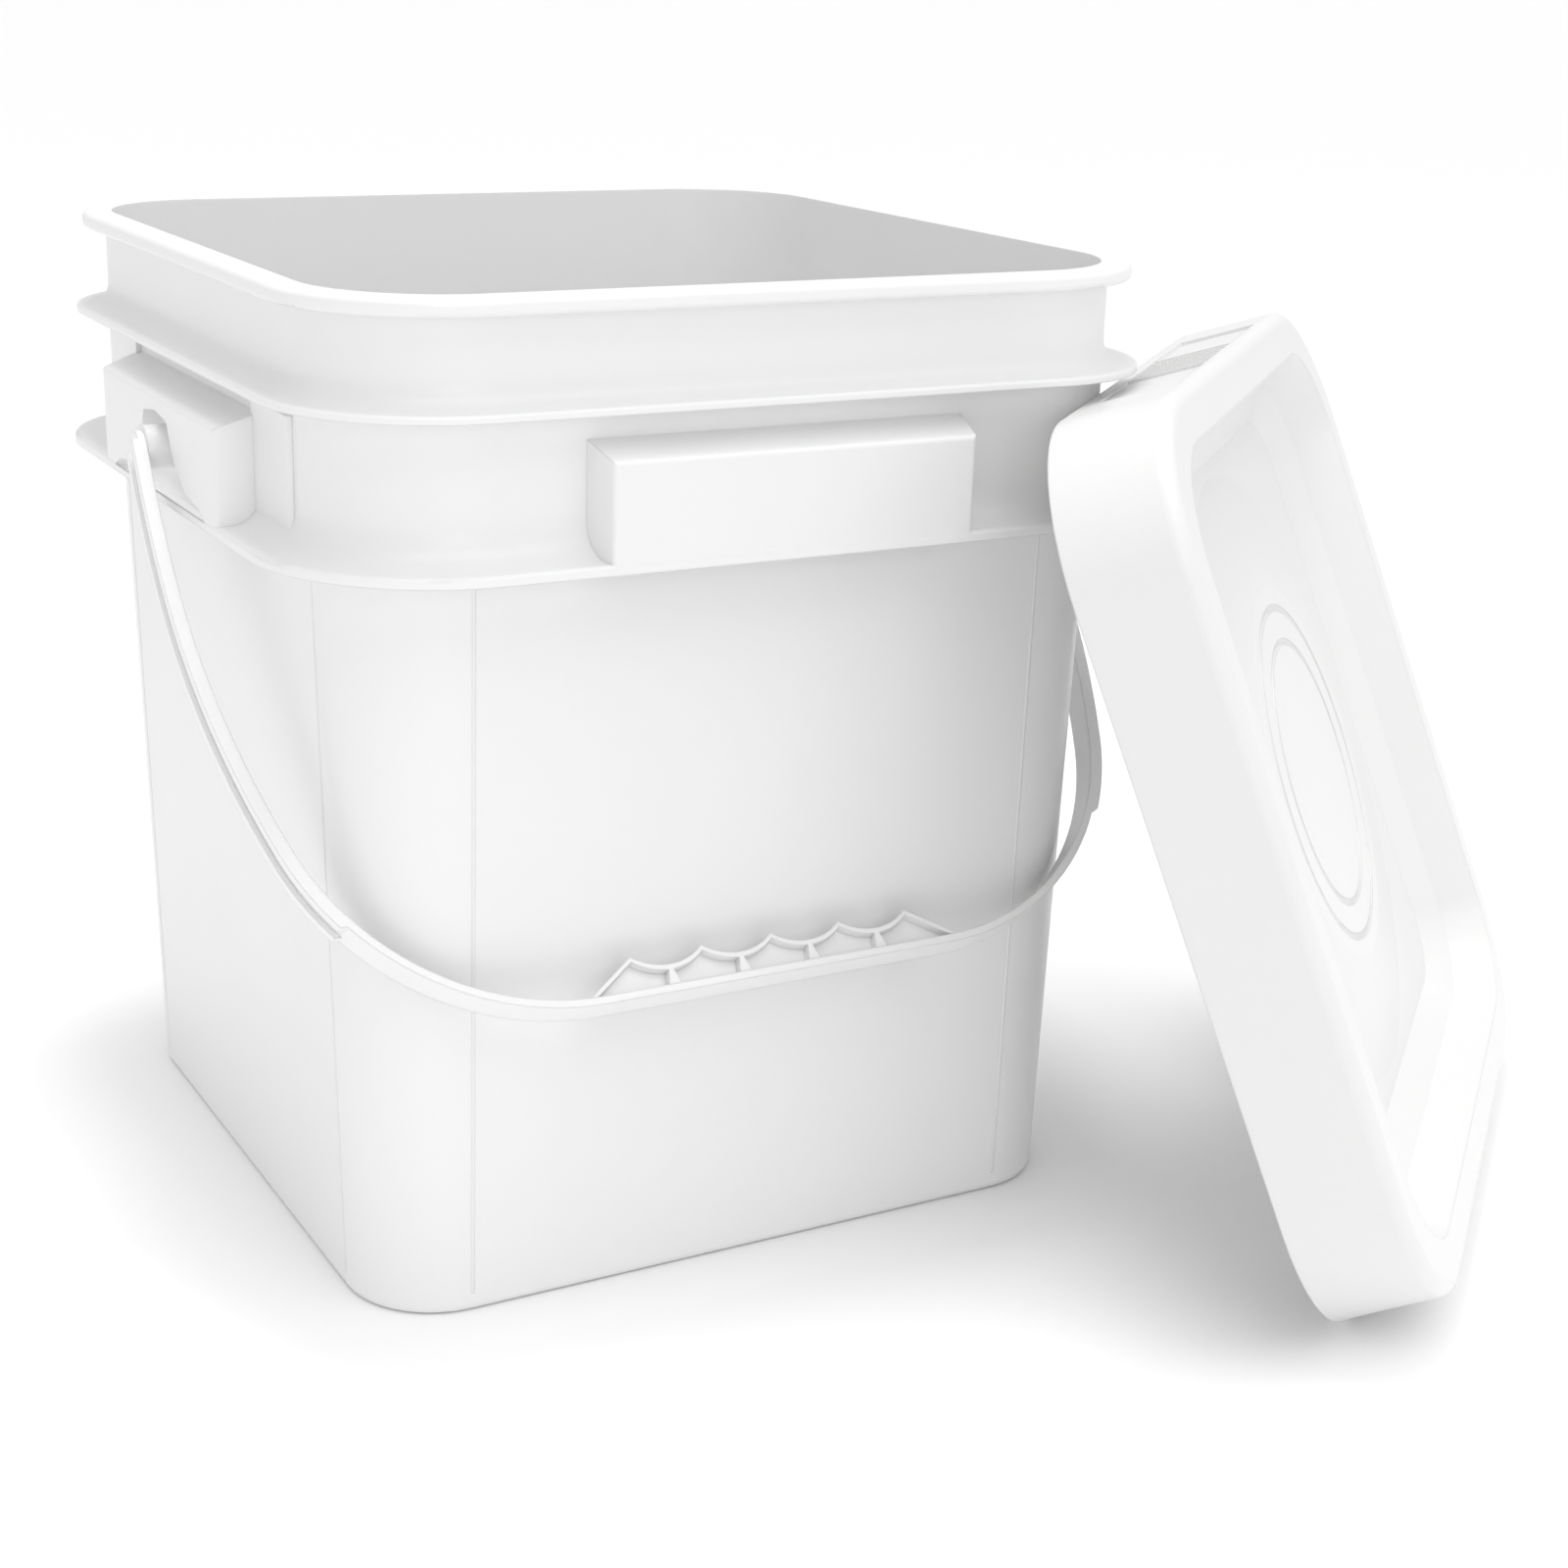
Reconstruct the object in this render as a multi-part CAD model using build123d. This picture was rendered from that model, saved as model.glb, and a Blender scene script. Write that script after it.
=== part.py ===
from build123d import *
import math
import os

# Square plastic pail: a tapered body with a rolled rim and two flanges, a one-piece bail
# that swings in pockets in two of the body's blocks, and a deep-skirted lid with a gasket.
# The lid stands on the floor and leans on the body's front right corner.
# Millimetres. The origin is the centre of the base, +Z is up and the front faces -Y.

# Driving dimensions
RIM_WIDTH = 263.0
HEIGHT = 290.7
WALL = 2.2

RIM_HALF = RIM_WIDTH / 2
RIM_RADIUS = 46.5
RIM_DEPTH = 4.8

# Straight upper part of the body, from the lower flange to the rim
NECK_HALF = 124.5
NECK_RADIUS = 39.0

# Flanges: each is a thin lip with a concave sweep down from the neck
UPPER_LIP_Z = 259.6
UPPER_LIP_HALF = 134.0
UPPER_LIP_RADIUS = 46.4
UPPER_LIP_THICKNESS = 2.2
UPPER_SWEEP = 6.5
LOWER_LIP_Z = 218.0
LOWER_LIP_HALF = 137.0
LOWER_LIP_RADIUS = 51.2
LOWER_LIP_THICKNESS = 3.0
LOWER_SWEEP = 9.5

# Tapered lower part of the body
BASE_HALF = 116.5
BASE_RADIUS = 27.9
TAPER_GAIN = 5.25
BASE_EDGE = 3.0
FLOOR_TOP = 4.0
FOOT_WIDTH = 12.0
FOOT_HEIGHT = 1.4

# Hollow blocks between the flanges, one on each side, open below
BLOCK_FACE = 136.8
BLOCK_HALF_AT_FACE = 55.5
BLOCK_HALF_AT_WALL = 58.0
BLOCK_TOP_AT_FACE = 247.9
BLOCK_TOP_AT_WALL = 252.5
BLOCK_EDGE = 1.4
BLOCK_WALL = 2.4

# Low pads on the sides with the pivots, between each block and the corners
PAD_END = 86.0
PAD_HEIGHT = 1.6
PAD_TOP = 256.0

# Pivot pockets in the left and right blocks
PIVOT_Z = 233.5
POCKET_DEPTH = 6.0
POCKET_WALL = 2.2
POCKET_TOP_HALF = 15.0
POCKET_CROWN_Z = 244.0
POCKET_WAIST_Z = 229.0
POCKET_WAIST_HALF = 20.5
POCKET_KNEE_HALF = 27.0
POCKET_KNEE_Z = 224.6
POCKET_FOOT_HALF = 46.5
POCKET_FOOT_Z = 221.0

# Bail: lengths are measured from the pivot down its middle
BAIL_ANGLE = 43.4
BAIL_LENGTH = 192.4
BAIL_HALF = 145.1
BAIL_WIDEST = 51.0
BAIL_BEND_START = 134.0
ARM_TOP_RADIUS = 610.0
ARM_LOW_RADIUS = 300.0
STRAP_WIDTH = 9.8
STRAP_THICKNESS = 2.4
ARM_RIB_HEIGHT = 1.6
ARM_RIB_WIDTH = 2.8
ARM_RIB_END = 158.0
HUB_RADIUS = 6.4
PIN_RADIUS = 4.4
PIN_CLEARANCE = 0.08
PIN_HEAD_RADIUS = 5.6
PIN_HEAD_LENGTH = 1.8
PIN_HEAD_GAP = 0.5

# Finger grip in the middle of the bail
GRIP_WEB = 2.6
GRIP_WIDTH = 8.4
GRIP_FLANGE = 1.6
GRIP_HALF = 62.0
GRIP_DEPTH = 12.6
GRIP_LOW_DEPTH = 8.6
FINGER_PITCH = 22.4
RIDGES = 5
GUSSET_HALF = 2.4

# Lid, in its own frame: z = 0 is the open edge and +z points out of the top
LID_HALF = 136.5
LID_TOP_HALF = 134.3
LID_RADIUS = 45.5
LID_TOP_RADIUS = 43.3
LID_HEIGHT = 34.0
LID_SKIN = 2.0
LID_EDGE = 4.5
PANEL_RIM_HALF = 120.0
PANEL_RIM_RADIUS = 32.0
PANEL_SHELF_HALF = 112.5
PANEL_SHELF_RADIUS = 26.0
PANEL_SHELF_Z = 21.0
PANEL_FLOOR_HALF = 103.0
PANEL_FLOOR_RADIUS = 20.0
PANEL_FLOOR_Z = 14.0
CROWN_RADIUS = 98.0
CROWN_FLAT_RADIUS = 60.0
CROWN_RISE = 5.0
RING_RADII = (42.2, 53.2)
RING_GROOVE = 1.1
SNAP_HALF = 131.0
SNAP_LOW_Z = 21.6
SNAP_HIGH_Z = 24.6
GRIP_RELIEF_HALF = 66.0
GRIP_RELIEF_DEPTH = 0.9
GRIP_RELIEF_MARGIN = 5.0
GRIP_RIBS = 7
GRIP_RIB_PITCH = 7.0
GRIP_RIB_WIDTH = 2.4

# Gasket under the lid's border
GASKET_OUTER_HALF = 131.6
GASKET_INNER_HALF = 124.5
GASKET_THICKNESS = 1.8

# Where the lid stands: its top faces away from the body and leans back by this much
LID_YAW = -47.7
LID_LEAN = 22.2
LID_X = 176.9
LID_Y = -125.3


def slab(half, radius, low, high):
    """A straight-sided prism on a rounded square."""
    return Pos(0, 0, low) * extrude(RectangleRounded(2 * half, 2 * half, radius), high - low)


def stack(levels):
    """A solid through rounded squares, each level given as (z, half width, corner radius)."""
    sections = [Pos(0, 0, z) * RectangleRounded(2 * half, 2 * half, radius) for z, half, radius in levels]
    return loft(sections, ruled=True)


def edges_at(shape, z, low_half, high_half):
    """The edges that lie flat at height z and whose reach from the axis is within a range."""
    found = []
    for edge in shape.edges():
        box = edge.bounding_box()
        reach = max(abs(box.min.X), abs(box.max.X), abs(box.min.Y), abs(box.max.Y))
        if abs(box.min.Z - z) < 0.01 and abs(box.max.Z - z) < 0.01 and low_half < reach < high_half:
            found.append(edge)
    return found


def body_half_at(z):
    return BASE_HALF + TAPER_GAIN * z / LOWER_LIP_Z


def body_shell():
    """The body's outside: tapered wall, neck, both flanges and the rolled rim."""
    top_radius = BASE_RADIUS + TAPER_GAIN
    wall = stack([(0, BASE_HALF, BASE_RADIUS), (LOWER_LIP_Z, BASE_HALF + TAPER_GAIN, top_radius)])
    wall = fillet(edges_at(wall, 0, 0, 1000), BASE_EDGE)
    neck = slab(NECK_HALF, NECK_RADIUS, LOWER_LIP_Z, HEIGHT)
    lower_top = LOWER_LIP_Z + LOWER_LIP_THICKNESS
    upper_top = UPPER_LIP_Z + UPPER_LIP_THICKNESS
    lower = slab(LOWER_LIP_HALF, LOWER_LIP_RADIUS, LOWER_LIP_Z, lower_top)
    upper = slab(UPPER_LIP_HALF, UPPER_LIP_RADIUS, UPPER_LIP_Z, upper_top)
    rim = slab(RIM_HALF, RIM_RADIUS, HEIGHT - RIM_DEPTH, HEIGHT)
    shell = neck + lower + upper + rim
    shell = fillet(edges_at(shell, lower_top, 0, NECK_HALF + 1), LOWER_SWEEP)
    shell = fillet(edges_at(shell, upper_top, 0, NECK_HALF + 1), UPPER_SWEEP)
    shell = fillet(edges_at(shell, lower_top, NECK_HALF + 1, 1000), LOWER_LIP_THICKNESS * 0.4)
    shell = fillet(edges_at(shell, upper_top, NECK_HALF + 1, 1000), UPPER_LIP_THICKNESS * 0.4)
    shell = fillet(edges_at(shell, HEIGHT, RIM_HALF - 0.1, 1000), RIM_DEPTH * 0.42)
    shell = fillet(edges_at(shell, HEIGHT - RIM_DEPTH, RIM_HALF - 0.1, 1000), RIM_DEPTH * 0.3)
    return wall + shell


def body_cavity():
    """The space inside the body, from its floor up through the open rim."""
    ledge = LOWER_LIP_Z + WALL
    low_half = body_half_at(FLOOR_TOP) - WALL
    low_radius = BASE_RADIUS - WALL
    high_half = BASE_HALF + TAPER_GAIN - WALL
    high_radius = BASE_RADIUS + TAPER_GAIN - WALL
    low = stack([(FLOOR_TOP, low_half, low_radius), (ledge, high_half, high_radius)])
    low = fillet(edges_at(low, FLOOR_TOP, 0, 1000), BASE_EDGE)
    return low + slab(NECK_HALF - WALL, NECK_RADIUS - WALL, ledge, HEIGHT + 1)


def block_profile(reach, half, low, high):
    """An upright rectangle across the +X side, at a distance from the body's axis."""
    plane = Plane(origin=(reach, 0, (low + high) / 2), x_dir=(0, 1, 0), z_dir=(1, 0, 0))
    return plane * Rectangle(2 * half, high - low)


def block_solid():
    """The outside of a block on the +X side, from inside the neck's wall to its flat face."""
    at_wall = block_profile(NECK_HALF - 1, BLOCK_HALF_AT_WALL, LOWER_LIP_Z, BLOCK_TOP_AT_WALL)
    at_face = block_profile(BLOCK_FACE, BLOCK_HALF_AT_FACE, LOWER_LIP_Z, BLOCK_TOP_AT_FACE)
    block = loft([at_wall, at_face], ruled=True)
    front = [edge for edge in block.edges() if edge.center().X > BLOCK_FACE - 0.1]
    return fillet([edge for edge in front if edge.center().Z > LOWER_LIP_Z + 1], BLOCK_EDGE)


def block_hollow():
    """The space inside a block, open below."""
    wall_half = BLOCK_HALF_AT_WALL - BLOCK_WALL
    face_half = BLOCK_HALF_AT_FACE - BLOCK_WALL
    low = LOWER_LIP_Z - 1
    at_wall = block_profile(NECK_HALF, wall_half, low, BLOCK_TOP_AT_WALL - BLOCK_WALL)
    at_face = block_profile(BLOCK_FACE - BLOCK_WALL, face_half, low, BLOCK_TOP_AT_FACE - BLOCK_WALL)
    return loft([at_wall, at_face], ruled=True)


def pocket_outline(grow):
    """Half arch that flares into a wide foot, seen along X: y across, z up."""
    top = POCKET_TOP_HALF + grow
    waist = POCKET_WAIST_HALF + grow
    knee = POCKET_KNEE_HALF + grow
    foot = POCKET_FOOT_HALF + grow
    crown_z = POCKET_CROWN_Z + grow
    shoulder_z = POCKET_CROWN_Z - POCKET_TOP_HALF * 0.6
    knee_z = POCKET_KNEE_Z + grow
    foot_z = POCKET_FOOT_Z + grow * 0.6
    low_z = LOWER_LIP_Z - 1
    right = [(0, crown_z), (top * 0.75, crown_z - 1.5), (top, shoulder_z), (waist, POCKET_WAIST_Z + grow)]
    right += [(knee, knee_z), (foot - 6, foot_z + 1.6), (foot, foot_z - 1.5), (foot, low_z)]
    left = [(-y, z) for y, z in reversed(right[1:])]
    return right + left


def pocket_prism(grow, inner, outer):
    points = pocket_outline(grow)
    plane = Plane(origin=(inner, 0, 0), x_dir=(0, 1, 0), z_dir=(1, 0, 0))
    outline = make_face(Polyline(*points, close=True))
    return extrude(plane * outline, outer - inner)


def ear_block():
    """A hollow block on the +X side with its pivot pocket."""
    envelope = block_solid()
    floor_x = BLOCK_FACE - POCKET_DEPTH
    lining = pocket_prism(POCKET_WALL, floor_x - POCKET_WALL, BLOCK_FACE) & envelope
    cut = pocket_prism(0, floor_x, BLOCK_FACE + 1)
    block = (envelope - block_hollow()) + lining - cut
    hole = Pos(floor_x - POCKET_WALL - 1, 0, PIVOT_Z) * Rot(0, 90, 0)
    return block - hole * Cylinder(
        PIN_RADIUS + PIN_CLEARANCE, POCKET_WALL + 2, align=(Align.CENTER, Align.CENTER, Align.MIN)
    )


def side_pad():
    """One low pad on the +X side, between the block and the corner at +Y."""
    length = PAD_END - BLOCK_HALF_AT_FACE
    height = PAD_TOP - LOWER_LIP_Z
    pad = Box(PAD_HEIGHT + 1, length, height, align=(Align.MIN, Align.MIN, Align.MIN))
    pad = Pos(NECK_HALF - 1, BLOCK_HALF_AT_FACE, LOWER_LIP_Z) * pad
    outer = [edge for edge in pad.edges() if edge.center().X > NECK_HALF + PAD_HEIGHT - 0.1]
    return fillet([edge for edge in outer if edge.center().Y > PAD_END - 0.1], PAD_HEIGHT * 0.8)


def bucket_body():
    outside = body_shell()
    cavity = body_cavity()
    hollow = block_hollow()
    for turn in (90, 270):
        outside += Rot(0, 0, turn) * block_solid()
    for turn in (0, 180):
        outside += Rot(0, 0, turn) * block_solid()
        outside += Rot(0, 0, turn) * side_pad()
        outside += Rot(0, 0, turn) * mirror(side_pad(), Plane.XZ)
    body = outside - cavity
    for turn in (90, 270):
        body -= Rot(0, 0, turn) * hollow
    ear = ear_block()
    for turn in (0, 180):
        space = Pos(NECK_HALF, 0, LOWER_LIP_Z - 1) * Box(
            BLOCK_FACE - NECK_HALF + 1,
            2 * BLOCK_HALF_AT_WALL - 2,
            BLOCK_TOP_AT_FACE - LOWER_LIP_Z - 1,
            align=(Align.MIN, Align.CENTER, Align.MIN),
        )
        body -= Rot(0, 0, turn) * (space & block_solid())
        body -= Rot(0, 0, turn) * hollow
        outside_ear = ear - slab(NECK_HALF - WALL, NECK_RADIUS - WALL, 0, HEIGHT)
        body += Rot(0, 0, turn) * outside_ear
    foot_half = BASE_HALF - FOOT_WIDTH
    return body - slab(foot_half, BASE_RADIUS - FOOT_WIDTH * 0.5, -1, FOOT_HEIGHT)


def bail_line(inset):
    """Arcs of the bail's U at a distance inside its outer face, from the left pivot to the right."""
    top_centre_x = BAIL_HALF - ARM_TOP_RADIUS
    low_centre_x = BAIL_HALF - ARM_LOW_RADIUS
    turn = math.asin((BAIL_BEND_START - BAIL_WIDEST) / ARM_LOW_RADIUS)
    bend = (BAIL_LENGTH - BAIL_BEND_START) / (1 - math.sin(turn))
    bend_x = low_centre_x + (ARM_LOW_RADIUS - bend) * math.cos(turn)
    bend_y = -BAIL_LENGTH + bend
    top_radius = ARM_TOP_RADIUS - inset
    low_radius = ARM_LOW_RADIUS - inset

    def on_arc(x, y, radius, angle):
        return (x + radius * math.cos(angle), y - radius * math.sin(angle))

    rise = math.asin(BAIL_WIDEST / top_radius)
    start = on_arc(top_centre_x, -BAIL_WIDEST, top_radius, -rise)
    upper = on_arc(top_centre_x, -BAIL_WIDEST, top_radius, -rise / 2)
    widest = (BAIL_HALF - inset, -BAIL_WIDEST)
    lower = on_arc(low_centre_x, -BAIL_WIDEST, low_radius, turn / 2)
    bend_start = on_arc(bend_x, bend_y, bend - inset, turn)
    bend_middle = on_arc(bend_x, bend_y, bend - inset, (turn + math.pi / 2) / 2)
    bottom = on_arc(bend_x, bend_y, bend - inset, math.pi / 2)
    right = [start, upper, widest, lower, bend_start, bend_middle, bottom]
    left = [(-x, y) for x, y in right]
    edges = [
        ThreePointArc(left[0], left[1], left[2]),
        ThreePointArc(left[2], left[3], left[4]),
        ThreePointArc(left[4], left[5], left[6]),
        Line(left[6], right[6]),
        ThreePointArc(right[6], right[5], right[4]),
        ThreePointArc(right[4], right[3], right[2]),
        ThreePointArc(right[2], right[1], right[0]),
    ]
    return edges, left[0], right[0]


def bail_band(outer_gain, inner_depth):
    """The flat U of the bail between two offsets of its outer face."""
    outer, outer_left, outer_right = bail_line(-outer_gain)
    inner, inner_left, inner_right = bail_line(inner_depth)
    return make_face(outer + inner + [Line(outer_left, inner_left), Line(outer_right, inner_right)])


def grip_face():
    """The web that fills the inner side of the bail's straight middle, with its wavy upper edge."""
    crest = -(BAIL_LENGTH - GRIP_DEPTH)
    valley = -(BAIL_LENGTH - GRIP_LOW_DEPTH)
    base = -(BAIL_LENGTH - STRAP_THICKNESS * 0.5)
    end = GRIP_HALF
    first = (RIDGES - 1) * FINGER_PITCH / 2
    edges = [Line((-end, base), (-first, crest))]
    for finger in range(RIDGES - 1):
        left = -first + finger * FINGER_PITCH
        middle = left + FINGER_PITCH / 2
        right = left + FINGER_PITCH
        edges.append(ThreePointArc((left, crest), (middle, valley), (right, crest)))
    edges.append(Line((first, crest), (end, base)))
    edges.append(Line((end, base), (-end, base)))
    return make_face(edges)


def grip():
    """The finger grip: a thin web, a wavy flange along its edge and a rib in each finger's hollow."""
    face = grip_face()
    crest_flange = face - Pos(0, -GRIP_FLANGE) * face
    shape = extrude(face, GRIP_WEB / 2, both=True) + extrude(crest_flange, GRIP_WIDTH / 2, both=True)
    low = -(BAIL_LENGTH - STRAP_THICKNESS * 0.5)
    high = -(BAIL_LENGTH - GRIP_LOW_DEPTH) - GRIP_FLANGE * 0.5
    for finger in range(RIDGES - 1):
        x = (finger - (RIDGES - 2) / 2) * FINGER_PITCH
        corners = [(x - GUSSET_HALF, low), (x + GUSSET_HALF, low), (x + 0.6, high), (x - 0.6, high)]
        rib = make_face(Polyline(*corners, close=True))
        shape += extrude(rib, GRIP_WIDTH / 2, both=True)
    return shape


def bail_handle():
    """The one-piece bail, hanging straight down in its own plane, with its pins along X."""
    bail = extrude(bail_band(0, STRAP_THICKNESS), STRAP_WIDTH / 2, both=True)
    ribbed_part = Pos(0, -ARM_RIB_END / 2) * Rectangle(4 * BAIL_HALF, ARM_RIB_END)
    ribs = extrude(bail_band(ARM_RIB_HEIGHT, STRAP_THICKNESS / 2) & ribbed_part, ARM_RIB_WIDTH)
    bail += Pos(0, 0, STRAP_WIDTH / 2 - ARM_RIB_WIDTH) * ribs
    bail += Pos(0, 0, -STRAP_WIDTH / 2) * ribs
    bail += grip()
    for side in (-1, 1):
        bail += pivot_end(side)
    return bail


def pivot_end(side):
    """The round end of an arm with its hub, snap pin and pin head, on the side given by its sign."""
    outer_x = BAIL_HALF - ARM_TOP_RADIUS + math.sqrt(ARM_TOP_RADIUS**2 - BAIL_WIDEST**2)
    inner_x = outer_x - STRAP_THICKNESS
    floor_x = BLOCK_FACE - POCKET_DEPTH
    head_x = floor_x - POCKET_WALL - PIN_HEAD_GAP
    stations = [
        (outer_x, inner_x, STRAP_WIDTH / 2),
        (inner_x + 0.2, floor_x + 0.4, HUB_RADIUS),
        (floor_x + 1.0, head_x - 0.2, PIN_RADIUS),
        (head_x, head_x - PIN_HEAD_LENGTH, PIN_HEAD_RADIUS),
    ]
    end = None
    for start, stop, radius in stations:
        length = start - stop
        piece = Pos(side * (start + stop) / 2, 0, 0) * Rot(0, 90, 0) * Cylinder(radius, length)
        end = piece if end is None else end + piece
    return end


def lid_outside():
    shape = stack([(0, LID_HALF, LID_RADIUS), (LID_HEIGHT, LID_TOP_HALF, LID_TOP_RADIUS)])
    return fillet(edges_at(shape, LID_HEIGHT, 0, 1000), LID_EDGE)


def lid_panel(drop):
    """The recess in the lid's top, or with a drop, the same shape grown by that skin thickness."""
    return stack(
        [
            (PANEL_FLOOR_Z - drop, PANEL_FLOOR_HALF + drop * 0.6, PANEL_FLOOR_RADIUS + drop * 0.6),
            (PANEL_SHELF_Z - drop * 0.8, PANEL_SHELF_HALF + drop * 0.8, PANEL_SHELF_RADIUS + drop * 0.8),
            (LID_HEIGHT + 0.5, PANEL_RIM_HALF + drop, PANEL_RIM_RADIUS + drop),
        ]
    )


def lid_crown(lift):
    """The round rise in the middle of the panel, as a flat-topped cone."""
    points = [
        (0, -20),
        (CROWN_RADIUS, -20),
        (CROWN_RADIUS, 0),
        (CROWN_FLAT_RADIUS, CROWN_RISE),
        (0, CROWN_RISE),
    ]
    face = make_face(Polyline(*points, close=True))
    return Pos(0, 0, PANEL_FLOOR_Z + lift) * revolve(Plane.XZ * face, Axis.Z, 360)


def lid():
    """The lid in its own frame: +z out of its top, +y towards its raised side as it stands."""
    inside_low = LID_HALF - LID_SKIN
    inside_high = LID_TOP_HALF - LID_SKIN
    under_border = LID_HEIGHT - LID_SKIN
    hollow = stack(
        [
            (-1, inside_low, LID_RADIUS - LID_SKIN),
            (under_border, inside_high, LID_TOP_RADIUS - LID_SKIN),
        ]
    )
    snap_outer = stack([(SNAP_LOW_Z, LID_HALF - 1, LID_RADIUS - 1), (SNAP_HIGH_Z, LID_HALF - 1, LID_RADIUS - 1)])
    snap_hole = stack(
        [
            (SNAP_LOW_Z - 1.5, inside_high + 0.8, LID_RADIUS - LID_SKIN),
            (SNAP_HIGH_Z - 0.6, SNAP_HALF, LID_RADIUS - LID_SKIN - 2.2),
            (SNAP_HIGH_Z + 0.6, SNAP_HALF, LID_RADIUS - LID_SKIN - 2.2),
        ]
    )
    plug = lid_panel(LID_SKIN)
    shell = lid_outside() - (hollow - plug)
    shell += (snap_outer & hollow) - snap_hole
    recess = lid_panel(0) - lid_crown(0)
    shell -= recess
    under_crown = lid_crown(-LID_SKIN - 0.2) & slab(PANEL_FLOOR_HALF, PANEL_FLOOR_RADIUS, 0, LID_HEIGHT)
    shell -= under_crown
    for radius in RING_RADII:
        shell -= Pos(0, 0, PANEL_FLOOR_Z + CROWN_RISE) * Torus(radius, RING_GROOVE)
    return shell - grip_relief()


def grip_relief():
    """The shallow ribbed relief in the skirt's middle, on the +y side."""
    high = LID_HEIGHT - GRIP_RELIEF_MARGIN
    low = GRIP_RELIEF_MARGIN
    lean = math.degrees(math.atan2(LID_HALF - LID_TOP_HALF, LID_HEIGHT))
    relief = Box(2 * GRIP_RELIEF_HALF, 2 * GRIP_RELIEF_DEPTH, high - low)
    for rib in range(GRIP_RIBS):
        x = (rib - (GRIP_RIBS - 1) / 2) * GRIP_RIB_PITCH
        relief -= Pos(x, 0, 0) * Box(GRIP_RIB_WIDTH, 3 * GRIP_RELIEF_DEPTH, high - low)
    middle = (LID_HALF + LID_TOP_HALF) / 2
    return Pos(0, middle, LID_HEIGHT / 2) * Rot(lean, 0, 0) * relief


def lid_gasket():
    """The flat square ring that lies against the underside of the lid's border."""
    top = LID_HEIGHT - LID_SKIN
    low = top - GASKET_THICKNESS
    outer = slab(GASKET_OUTER_HALF, LID_TOP_RADIUS - LID_SKIN - 0.7, low, top)
    inner_radius = LID_TOP_RADIUS - LID_SKIN - 0.7 - (GASKET_OUTER_HALF - GASKET_INNER_HALF)
    return outer - slab(GASKET_INNER_HALF, inner_radius, low - 1, top + 1)


def standing_lid_place():
    """The frame of the leaning lid: its open edge's lowest side touches the floor."""
    yaw = math.radians(LID_YAW)
    lean = math.radians(LID_LEAN)
    along_floor = (-math.sin(yaw), math.cos(yaw), 0)
    out_of_top = (math.cos(yaw) * math.cos(lean), math.sin(yaw) * math.cos(lean), math.sin(lean))
    height = LID_HALF * math.cos(lean)
    return Plane(origin=(LID_X, LID_Y, height), x_dir=along_floor, z_dir=out_of_top)


def hanging_bail_place():
    """The frame of the bail: its pins on X and its plane swung forward from straight down."""
    angle = math.radians(BAIL_ANGLE)
    return Plane(origin=(0, 0, PIVOT_Z), x_dir=(1, 0, 0), z_dir=(0, -math.cos(angle), math.sin(angle)))


os.makedirs("parts", exist_ok=True)
nodes = {
    "bucket_body": bucket_body(),
    "bail_handle": hanging_bail_place() * bail_handle(),
    "lid": standing_lid_place() * lid(),
    "lid_gasket": standing_lid_place() * lid_gasket(),
}
for name, shape in nodes.items():
    export_step(shape, f"parts/{name}.step")
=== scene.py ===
import math

import bmesh
import bpy
from mathutils import Matrix, Vector


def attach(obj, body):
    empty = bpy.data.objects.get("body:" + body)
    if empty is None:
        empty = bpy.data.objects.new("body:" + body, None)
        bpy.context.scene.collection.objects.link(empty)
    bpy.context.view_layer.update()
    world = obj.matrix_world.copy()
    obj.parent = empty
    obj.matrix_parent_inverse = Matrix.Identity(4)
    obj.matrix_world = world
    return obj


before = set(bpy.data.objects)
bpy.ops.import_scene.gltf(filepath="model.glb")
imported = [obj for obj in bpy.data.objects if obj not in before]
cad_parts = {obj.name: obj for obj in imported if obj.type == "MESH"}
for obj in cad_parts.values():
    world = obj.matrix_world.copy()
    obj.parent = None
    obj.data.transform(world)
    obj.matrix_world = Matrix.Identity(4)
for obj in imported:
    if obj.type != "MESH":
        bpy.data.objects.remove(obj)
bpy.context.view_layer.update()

# Colours are linear
WHITE_PLASTIC = (0.845, 0.848, 0.845)
HANDLE_PLASTIC = (0.86, 0.862, 0.858)
# The lid's colour is the bucket's white HDPE made darker: painted shade, so the lid reads as less lit
# than the bucket
LID_HDPE_PAINTED_SHADE = (0.79, 0.793, 0.788)
GASKET_FOAM = (0.66, 0.655, 0.63)
FLOOR_PAINT = (0.97, 0.97, 0.97)

# The tapered lower wall: half widths at the floor and at the lower flange, and where its flat part ends
WALL_LOW_HALF = 0.1165
WALL_HIGH_HALF = 0.12175
WALL_HIGH_Z = 0.218
CORNER_START = 0.0886

# The mould lines: heights of their ends above the floor, and their section with its root inside the wall
MOULD_LINE_START = 0.006
MOULD_LINE_END = WALL_HIGH_Z - 0.0015
MOULD_LINE_WIDTH = 0.0011
MOULD_LINE_HEIGHT = 0.00022
MOULD_LINE_ROOT = 0.0004

# Camera angles are in degrees
CAMERA_PLACE = (-0.3423, -0.7389, 0.3781)
CAMERA_AZIMUTH = -29.22
CAMERA_ELEVATION = 17.73
CAMERA_ROLL = 1.65


class Nodes:
    """A short way to add and link shader nodes."""

    def __init__(self, tree):
        self.tree = tree

    def add(self, kind, **values):
        node = self.tree.nodes.new(kind)
        for name, value in values.items():
            setattr(node, name, value)
        return node

    def link(self, source, target):
        self.tree.links.new(source, target)


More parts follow.
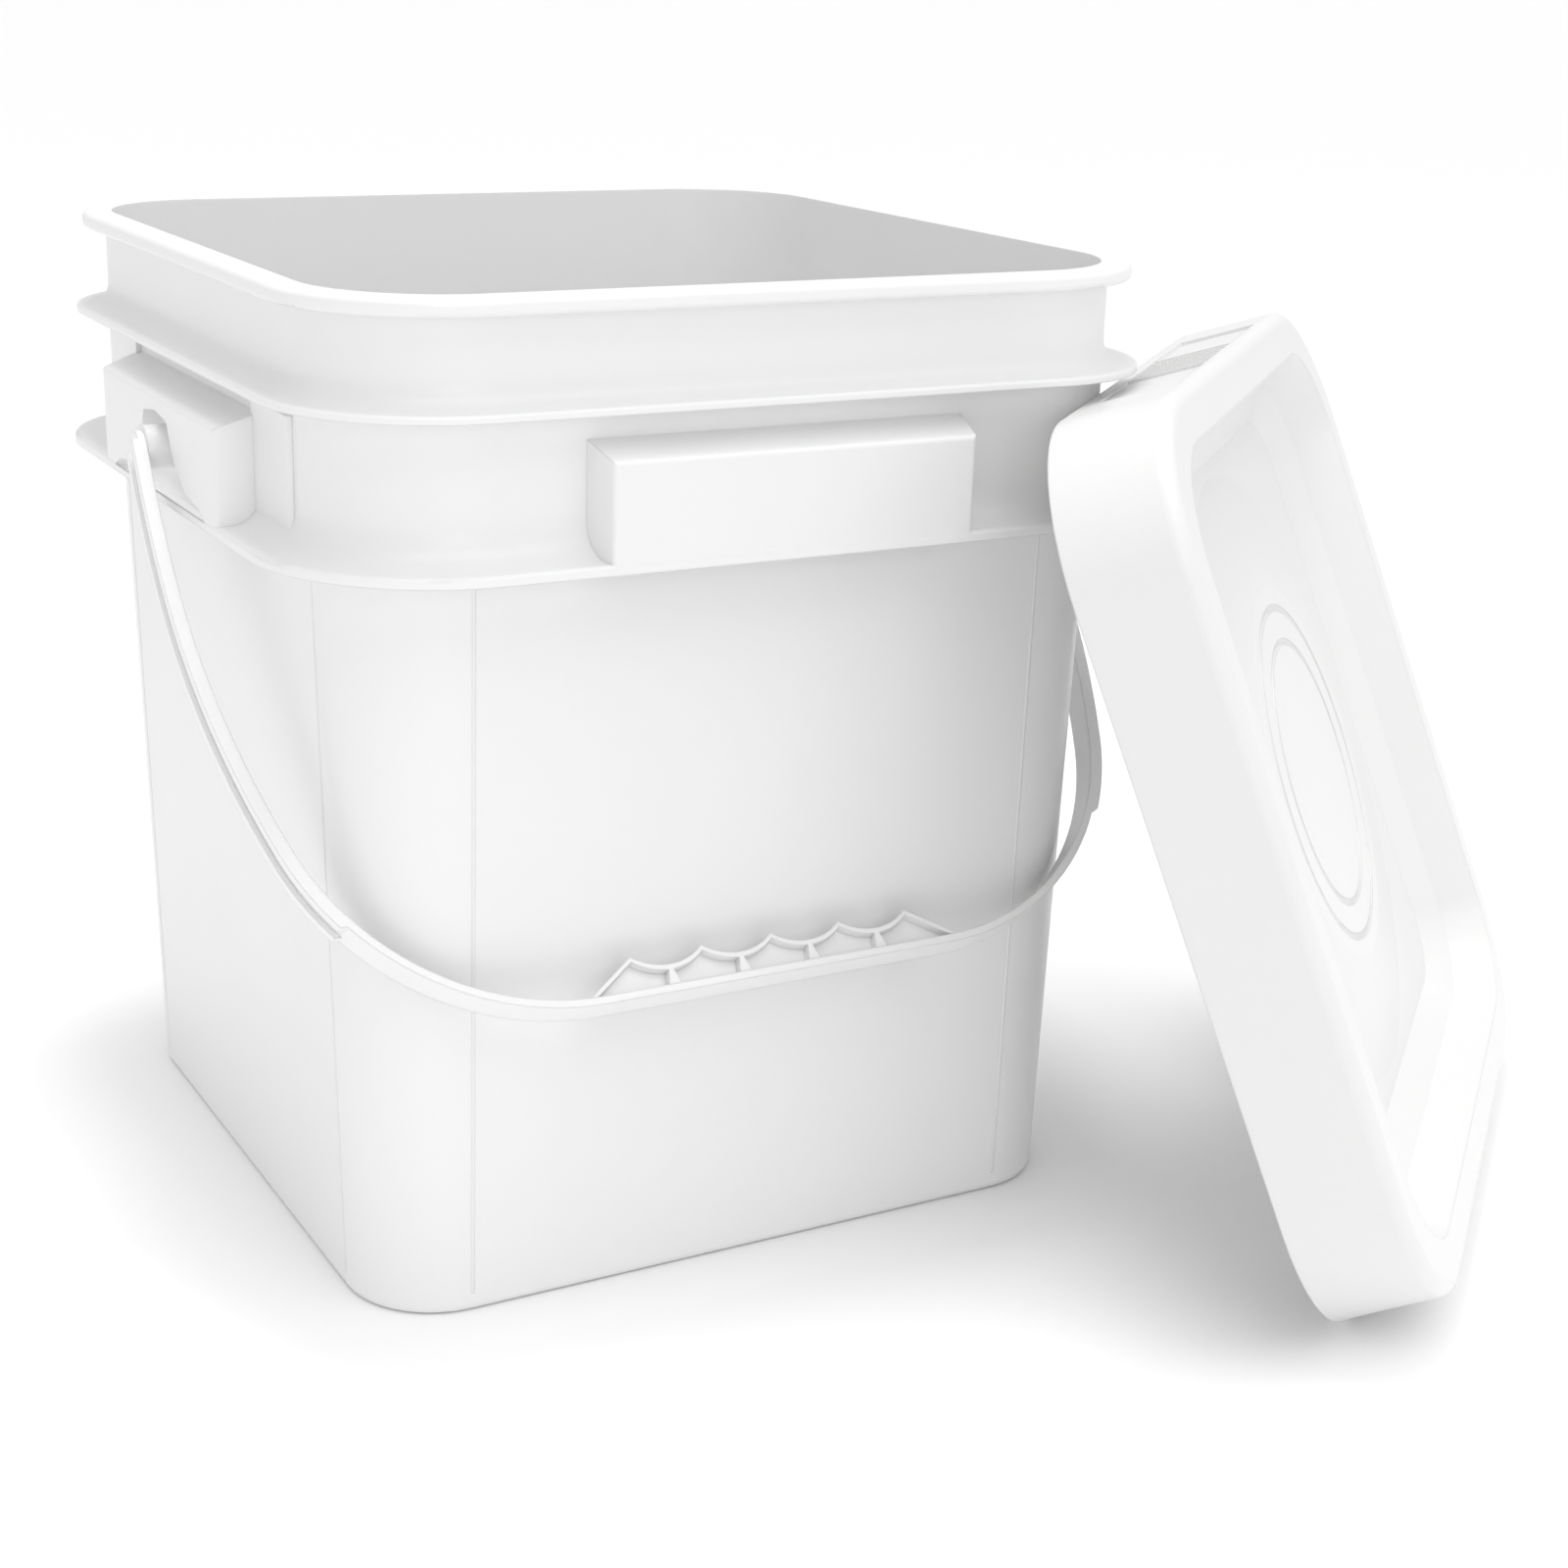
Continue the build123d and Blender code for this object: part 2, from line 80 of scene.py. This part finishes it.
def moulded_plastic(name, colour, roughness, mottle, bump, coat):
    """Injection-moulded plastic: cloudy colour, uneven gloss, a fine skin texture and soft edges."""
    material = bpy.data.materials.new(name)
    material.use_nodes = True
    nodes = Nodes(material.node_tree)
    shader = material.node_tree.nodes["Principled BSDF"]
    place = nodes.add("ShaderNodeTexCoord")

    clouds = nodes.add("ShaderNodeTexNoise")
    clouds.inputs["Scale"].default_value = 14.0
    clouds.inputs["Detail"].default_value = 5.0
    nodes.link(place.outputs["Object"], clouds.inputs["Vector"])
    tint = nodes.add("ShaderNodeMix", data_type="RGBA")
    tint.inputs[6].default_value = (*[channel * (1.0 - mottle) for channel in colour], 1.0)
    tint.inputs[7].default_value = (*colour, 1.0)
    nodes.link(clouds.outputs["Fac"], tint.inputs[0])
    nodes.link(tint.outputs[2], shader.inputs["Base Color"])

    patches = nodes.add("ShaderNodeTexNoise")
    patches.inputs["Scale"].default_value = 32.0
    patches.inputs["Detail"].default_value = 3.0
    nodes.link(place.outputs["Object"], patches.inputs["Vector"])
    gloss = nodes.add("ShaderNodeMapRange")
    gloss.inputs["To Min"].default_value = roughness - 0.05
    gloss.inputs["To Max"].default_value = roughness + 0.07
    nodes.link(patches.outputs["Fac"], gloss.inputs["Value"])
    nodes.link(gloss.outputs["Result"], shader.inputs["Roughness"])

    skin = nodes.add("ShaderNodeTexNoise")
    skin.inputs["Scale"].default_value = 420.0
    skin.inputs["Detail"].default_value = 3.0
    nodes.link(place.outputs["Object"], skin.inputs["Vector"])
    soft_edges = nodes.add("ShaderNodeBevel", samples=4)
    soft_edges.inputs["Radius"].default_value = 0.0008
    relief = nodes.add("ShaderNodeBump")
    relief.inputs["Strength"].default_value = bump
    relief.inputs["Distance"].default_value = 0.0003
    nodes.link(skin.outputs["Fac"], relief.inputs["Height"])
    nodes.link(soft_edges.outputs["Normal"], relief.inputs["Normal"])
    nodes.link(relief.outputs["Normal"], shader.inputs["Normal"])

    shader.inputs["IOR"].default_value = 1.5
    shader.inputs["Coat Weight"].default_value = coat
    shader.inputs["Coat Roughness"].default_value = 0.22
    return material


def floor_paint():
    """Matt pale paint with a barely visible unevenness."""
    material = bpy.data.materials.new("floor_paint")
    material.use_nodes = True
    nodes = Nodes(material.node_tree)
    shader = material.node_tree.nodes["Principled BSDF"]
    noise = nodes.add("ShaderNodeTexNoise")
    noise.inputs["Scale"].default_value = 3.0
    tint = nodes.add("ShaderNodeMix", data_type="RGBA")
    tint.inputs[6].default_value = (*[channel * 0.995 for channel in FLOOR_PAINT], 1.0)
    tint.inputs[7].default_value = (*FLOOR_PAINT, 1.0)
    nodes.link(noise.outputs["Fac"], tint.inputs[0])
    nodes.link(tint.outputs[2], shader.inputs["Base Color"])
    shader.inputs["Roughness"].default_value = 0.9
    shader.inputs["Specular IOR Level"].default_value = 0.1
    return material


def finished(name, mesh_builder, material, smooth_angle=40.0):
    """A linked mesh object from a bmesh, smooth except at its sharp edges."""
    mesh = bpy.data.meshes.new(name)
    mesh_builder.normal_update()
    mesh_builder.to_mesh(mesh)
    mesh_builder.free()
    mesh.materials.append(material)
    piece = bpy.data.objects.new(name, mesh)
    bpy.context.scene.collection.objects.link(piece)
    for polygon in mesh.polygons:
        polygon.use_smooth = True
    mesh.set_sharp_from_angle(angle=math.radians(smooth_angle))
    return piece


def mould_line(name, turn, side, material):
    """The faint raised line where a corner of the lower wall begins, from the foot to the flange."""
    builder = bmesh.new()
    steps = 24
    across = 6
    middle = side * CORNER_START
    rings = []
    for step in range(steps + 1):
        share = step / steps
        z = MOULD_LINE_START + share * (MOULD_LINE_END - MOULD_LINE_START)
        half = WALL_LOW_HALF + (WALL_HIGH_HALF - WALL_LOW_HALF) * z / WALL_HIGH_Z
        fade = min(1.0, 8.0 * share, 8.0 * (1.0 - share) + 0.15)
        ring = []
        for index in range(across + 1):
            offset = index / across * 2.0 - 1.0
            rise = MOULD_LINE_HEIGHT * fade * math.cos(offset * math.pi / 2.0)
            ring.append(builder.verts.new((middle + offset * MOULD_LINE_WIDTH / 2.0, -half - rise, z)))
        for index in (across, 0):
            x = ring[index].co.x
            ring.append(builder.verts.new((x, -half + MOULD_LINE_ROOT, z)))
        rings.append(ring)
    count = len(rings[0])
    for lower, upper in zip(rings, rings[1:]):
        for index in range(count):
            following = (index + 1) % count
            builder.faces.new((lower[index], lower[following], upper[following], upper[index]))
    builder.faces.new(list(reversed(rings[0])))
    builder.faces.new(rings[-1])
    bmesh.ops.transform(builder, matrix=Matrix.Rotation(math.radians(turn), 4, "Z"), verts=builder.verts)
    bmesh.ops.recalc_face_normals(builder, faces=builder.faces)
    line = finished(name, builder, material)
    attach(line, "bucket")


def gate_mark(material):
    """The small moulding gate in the recess of the base: a low dished disc with a nipped-off stub."""
    builder = bmesh.new()
    tip_height = 0.0007
    profile = [
        (0.0011, 0.0008),
        (0.0013, 0.00115),
        (0.0052, 0.0011),
        (0.0066, 0.0009),
        (0.0072, 0.0015),
    ]
    segments = 40
    rings = []
    for radius, z in profile:
        ring = []
        for index in range(segments):
            angle = 2.0 * math.pi * index / segments
            ring.append(builder.verts.new((radius * math.cos(angle), radius * math.sin(angle), z)))
        rings.append(ring)
    tip = builder.verts.new((0.0, 0.0, tip_height))
    for index in range(segments):
        following = (index + 1) % segments
        builder.faces.new((tip, rings[0][following], rings[0][index]))
        for inner, outer in zip(rings, rings[1:]):
            builder.faces.new((inner[index], inner[following], outer[following], outer[index]))
    builder.faces.new(rings[-1])
    bmesh.ops.recalc_face_normals(builder, faces=builder.faces)
    mark = finished("gate_mark", builder, material)
    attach(mark, "bucket")


def repaint(node, material):
    """A CAD piece keeps its shape and gets a better material."""
    for material_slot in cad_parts[node].material_slots:
        material_slot.material = material


bucket_plastic = moulded_plastic("bucket_hdpe", WHITE_PLASTIC, 0.33, 0.03, 0.10, 0.10)
handle_plastic = moulded_plastic("handle_pp", HANDLE_PLASTIC, 0.30, 0.02, 0.08, 0.15)
# The lid's material is the darker copy of the white HDPE: painted shade
lid_plastic_painted_shade = moulded_plastic("lid_hdpe_painted_shade", LID_HDPE_PAINTED_SHADE, 0.34, 0.03, 0.10, 0.10)
gasket_foam = moulded_plastic("gasket_foam", GASKET_FOAM, 0.75, 0.10, 0.45, 0.0)

repaint("bucket_body", bucket_plastic)
repaint("bail_handle", handle_plastic)
repaint("lid", lid_plastic_painted_shade)
repaint("lid_gasket", gasket_foam)

for wall_turn in (0, 90, 180, 270):
    for wall_side in (-1, 1):
        label = "left" if wall_side < 0 else "right"
        mould_line(f"mould_line_{wall_turn}_{label}", wall_turn, wall_side, bucket_plastic)
gate_mark(bucket_plastic)

# Floor
floor_builder = bmesh.new()
bmesh.ops.create_grid(floor_builder, x_segments=8, y_segments=8, size=40.0)
floor = finished("floor", floor_builder, floor_paint())


def softbox(name, place, target, size, power):
    """A rectangular area lamp that faces its target."""
    lamp = bpy.data.lights.new(name, "AREA")
    lamp.shape = "RECTANGLE"
    lamp.size = size[0]
    lamp.size_y = size[1]
    lamp.energy = power
    holder = bpy.data.objects.new(name, lamp)
    holder.location = place
    aim = Vector(target) - Vector(place)
    holder.rotation_euler = aim.to_track_quat("-Z", "Y").to_euler()
    bpy.context.scene.collection.objects.link(holder)


softbox("front_softbox", (-0.2, -2.3, 0.9), (0.05, 0.0, 0.15), (1.2, 0.9), 5.0)
softbox("top_softbox", (0.0, 0.05, 1.5), (0.0, 0.0, 0.1), (0.3, 0.3), 5.0)

sky = bpy.data.lights.new("overhead", "SUN")
sky.energy = 1.0
sky.angle = math.radians(60.0)
sky_holder = bpy.data.objects.new("overhead", sky)
sky_holder.rotation_euler = (math.radians(16.0), math.radians(6.0), 0.0)
bpy.context.scene.collection.objects.link(sky_holder)

world = bpy.data.worlds.new("studio")
world.use_nodes = True
background = world.node_tree.nodes["Background"]
background.inputs["Color"].default_value = (1.0, 1.0, 1.0, 1.0)
background.inputs["Strength"].default_value = 0.73
bpy.context.scene.world = world
bpy.context.scene.view_settings.view_transform = "Standard"

# Camera
camera_data = bpy.data.cameras.new("camera")
camera_data.sensor_width = 36.0
camera_data.lens = 60.0
camera_data.shift_x = 0.0054
camera_data.shift_y = -0.0067
camera_data.clip_start = 0.01
camera_data.clip_end = 200.0
camera = bpy.data.objects.new("camera", camera_data)
azimuth = math.radians(CAMERA_AZIMUTH)
elevation = math.radians(CAMERA_ELEVATION)
roll = math.radians(CAMERA_ROLL)
back = Vector(
    (
        math.sin(azimuth) * math.cos(elevation),
        -math.cos(azimuth) * math.cos(elevation),
        math.sin(elevation),
    )
)
level_right = Vector((math.cos(azimuth), math.sin(azimuth), 0.0))
level_up = back.cross(level_right)
right = math.cos(roll) * level_right + math.sin(roll) * level_up
up = math.cos(roll) * level_up - math.sin(roll) * level_right
camera_turn = Matrix((right, up, back)).transposed().to_4x4()
camera.matrix_world = Matrix.Translation(CAMERA_PLACE) @ camera_turn
bpy.context.scene.collection.objects.link(camera)
bpy.context.scene.camera = camera
